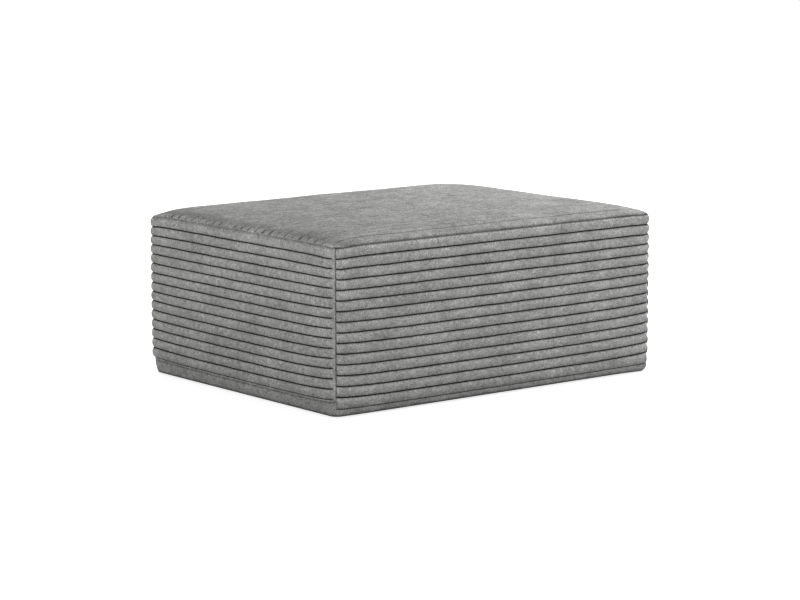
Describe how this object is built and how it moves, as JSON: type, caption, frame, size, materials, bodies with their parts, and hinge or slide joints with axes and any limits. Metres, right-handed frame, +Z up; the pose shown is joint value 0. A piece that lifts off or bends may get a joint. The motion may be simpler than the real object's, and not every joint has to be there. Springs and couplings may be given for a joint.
{
  "type": "upholstered pouf",
  "caption": "Large rectangular pouf with a crowned top and level corduroy ribs on all sides, on a timber frame with webbing and a foam block.",
  "frame": {"origin": "middle of the footprint, on the floor that the glides stand on", "axes": "+X along the length to the right, +Y from the front to the back, +Z up"},
  "size_m": [1.03, 0.8, 0.4334],
  "materials": {
    "corduroy": "soft wide-rib corduroy with a short pile",
    "wadding": "white polyester fibre",
    "foam": "open-cell polyurethane foam",
    "felt": "needled recycled felt",
    "webbing": "woven elastic webbing",
    "timber": "planed softwood",
    "fibreboard": "thin brown fibreboard",
    "screw_steel": "zinc-plated",
    "dust_cloth": "black non-woven sheet",
    "glide_plastic": "matt moulded black",
    "nail_steel": "zinc-plated"
  },
  "bodies": {
    "root": {"top_cover": "corduroy", "front_cover": "corduroy", "back_cover": "corduroy", "left_cover": "corduroy", "right_cover": "corduroy", "top_wadding": "wadding", "top_foam": "foam", "front_foam": "foam", "back_foam": "foam", "left_foam": "foam", "right_foam": "foam", "spring_felt": "felt", "lengthwise_webbing": "webbing", "crosswise_webbing": "webbing", "front_top_rail": "timber", "back_top_rail": "timber", "left_top_rail": "timber", "right_top_rail": "timber", "front_bottom_rail": "timber", "back_bottom_rail": "timber", "left_bottom_rail": "timber", "right_bottom_rail": "timber", "front_left_post": "timber", "front_right_post": "timber", "back_left_post": "timber", "back_right_post": "timber", "front_stile": "timber", "back_stile": "timber", "floor_stretcher": "timber", "front_board": "fibreboard", "back_board": "fibreboard", "left_board": "fibreboard", "right_board": "fibreboard", "frame_screws": "screw_steel", "dust_cover": "dust_cloth", "glides": "glide_plastic", "glide_nails": "nail_steel"}
  },
  "joints": []
}
